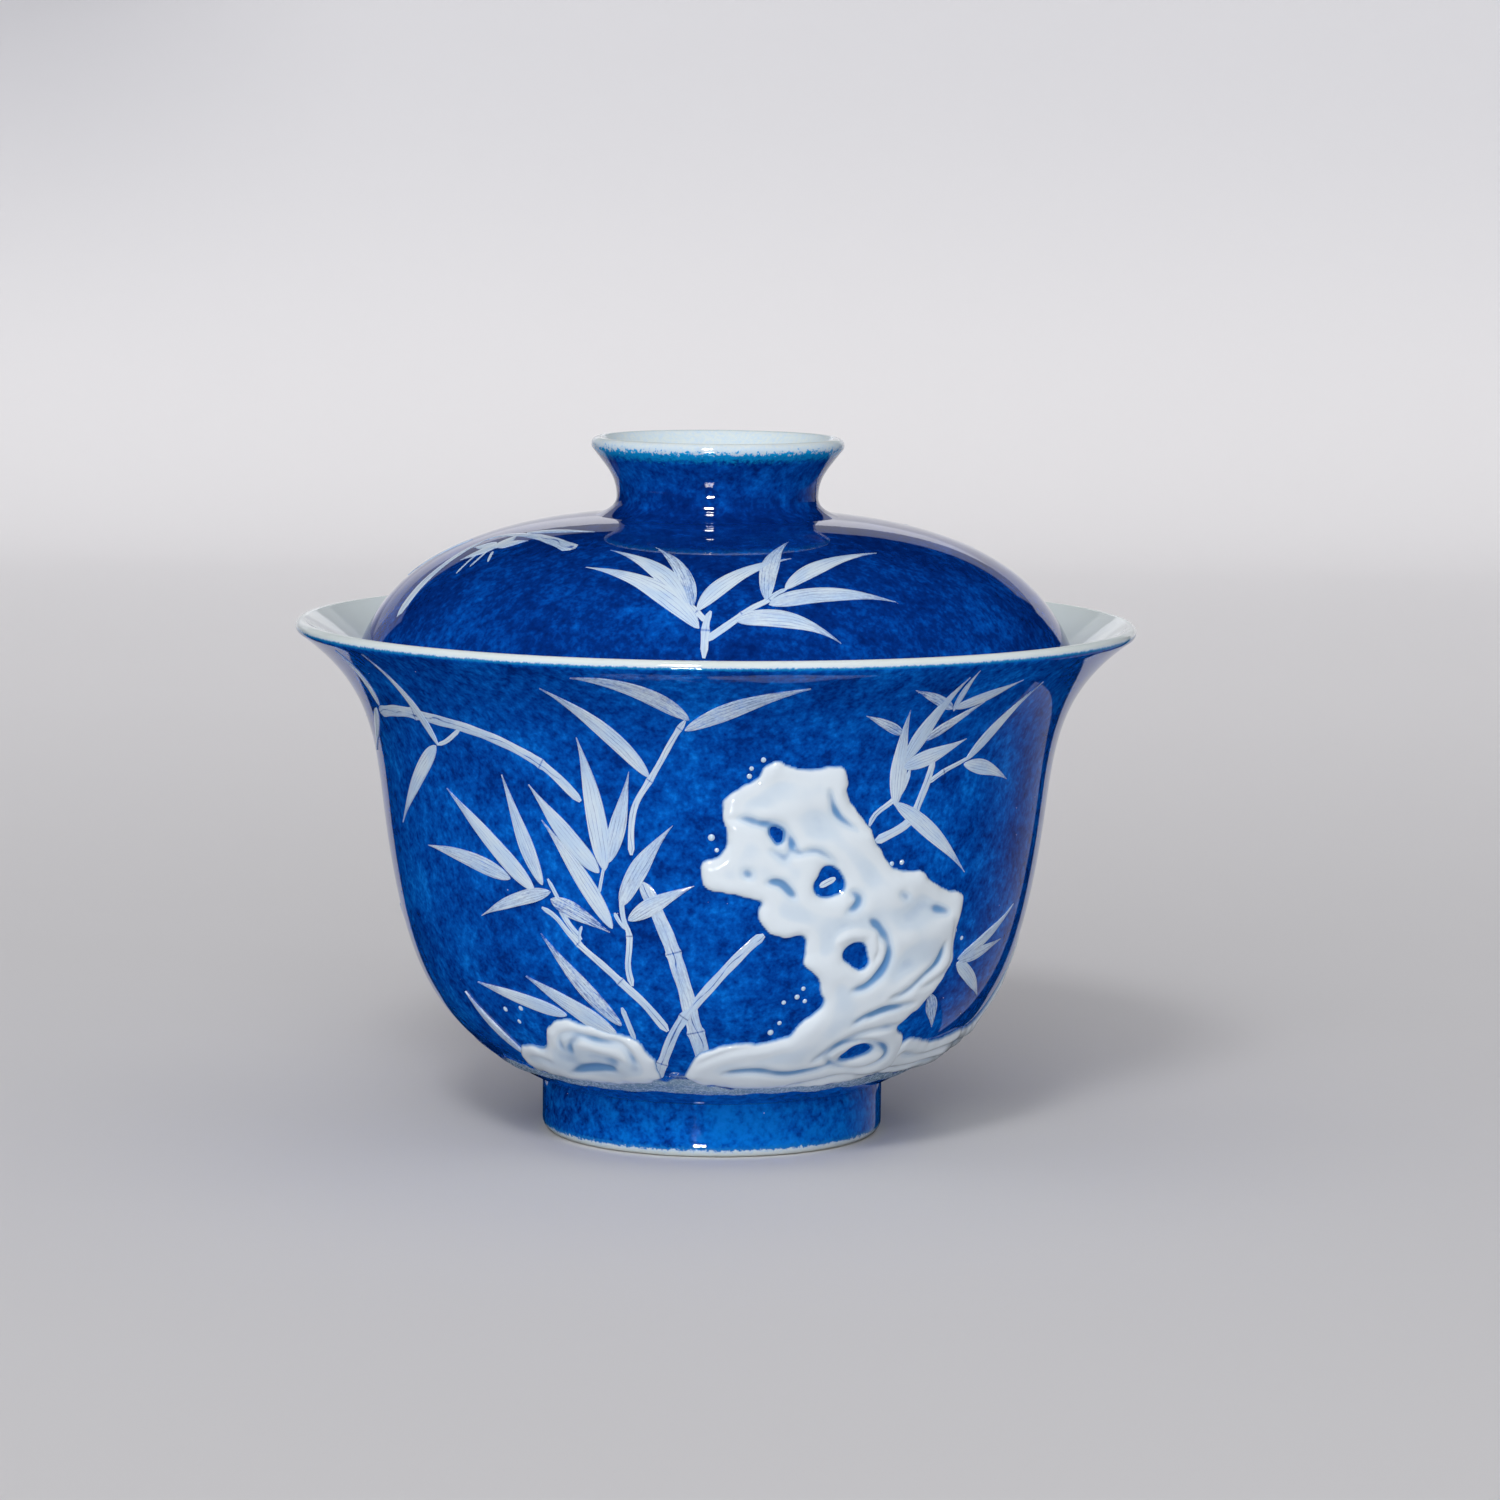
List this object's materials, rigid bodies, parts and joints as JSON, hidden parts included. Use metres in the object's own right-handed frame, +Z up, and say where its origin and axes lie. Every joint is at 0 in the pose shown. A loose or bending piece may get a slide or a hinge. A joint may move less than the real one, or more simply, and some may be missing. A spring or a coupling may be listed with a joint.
{
  "type": "gaiwan",
  "caption": "Lidded porcelain tea bowl with a flared rim, turned foot ring, domed lid with a ring knob, rocks in relief and brushed bamboo.",
  "frame": {"origin": "centre of the foot ring's contact plane", "axes": "+Z up the axis of the bowl and lid, front towards -Y, +X to the right of someone who faces the front"},
  "size_m": [0.11, 0.11, 0.0914],
  "materials": {
    "blue_glaze": "deep mottled cobalt glaze, glossy, white inside",
    "rock_slip": "white slip in relief under clear glaze, bluish in its hollows",
    "brushed_slip": "white slip brushed thin, with blue veins showing through",
    "sandy_slip": "greyish white stippled slip under clear glaze",
    "white_glaze": "pale celadon white glaze, glossy",
    "bare_clay": "unglazed white clay, matt"
  },
  "bodies": {
    "bowl": {"bowl_wall": "blue_glaze", "bowl_foot_ring": "blue_glaze", "ground_band": "sandy_slip", "scholar_rock": "rock_slip", "left_boulder": "rock_slip", "side_rock": "rock_slip", "back_boulder": "rock_slip", "slip_pearls": "rock_slip", "front_bamboo": "brushed_slip", "right_bamboo": "brushed_slip", "back_bamboo": "brushed_slip"},
    "lid": {"lid_dome": "blue_glaze", "lid_knob_ring": "blue_glaze", "lid_front_bamboo": "brushed_slip", "lid_left_spray": "brushed_slip", "lid_back_bamboo": "brushed_slip"}
  },
  "joints": [
    {"name": "lid_lift", "type": "slide", "parent": "bowl", "child": "lid", "axis": [0, 0, 1], "range_m": [0, 0.07]}
  ]
}
